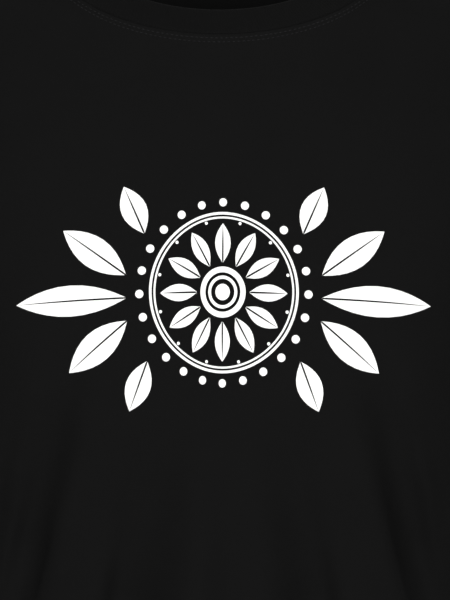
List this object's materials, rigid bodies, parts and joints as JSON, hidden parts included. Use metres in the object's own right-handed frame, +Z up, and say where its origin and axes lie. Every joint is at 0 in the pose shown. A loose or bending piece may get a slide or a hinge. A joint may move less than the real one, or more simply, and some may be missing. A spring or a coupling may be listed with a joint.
{
  "type": "crew-neck t-shirt",
  "caption": "Short-sleeved crew-neck T-shirt in its worn shape, with a ribbed collar, stitched hems and a light printed ornament across the chest.",
  "frame": {"origin": "base of the wearer's neck, midway between the neck points of the two shoulders", "axes": "+Z up, -Y out of the front, +X towards the wearer's left"},
  "size_m": [0.6554, 0.24, 0.675],
  "materials": {
    "jersey": "black cotton jersey, matt",
    "rib": "black ribbed knit, matt",
    "seam": "black thread and seam edges, slight sheen",
    "label": "plain woven tape, no text",
    "print": "white screen-print ink, matt"
  },
  "bodies": {
    "root": {"front_panel": "jersey", "back_panel": "jersey", "sleeve_left": "jersey", "sleeve_right": "jersey", "bottom_hem": "jersey", "sleeve_hem_left": "jersey", "sleeve_hem_right": "jersey", "side_seam_left": "seam", "side_seam_right": "seam", "shoulder_seam_left": "seam", "shoulder_seam_right": "seam", "armhole_seam_left": "seam", "armhole_seam_right": "seam", "neck_rib": "rib", "neck_tape": "seam", "care_label": "label", "chest_print": "print"}
  },
  "joints": []
}
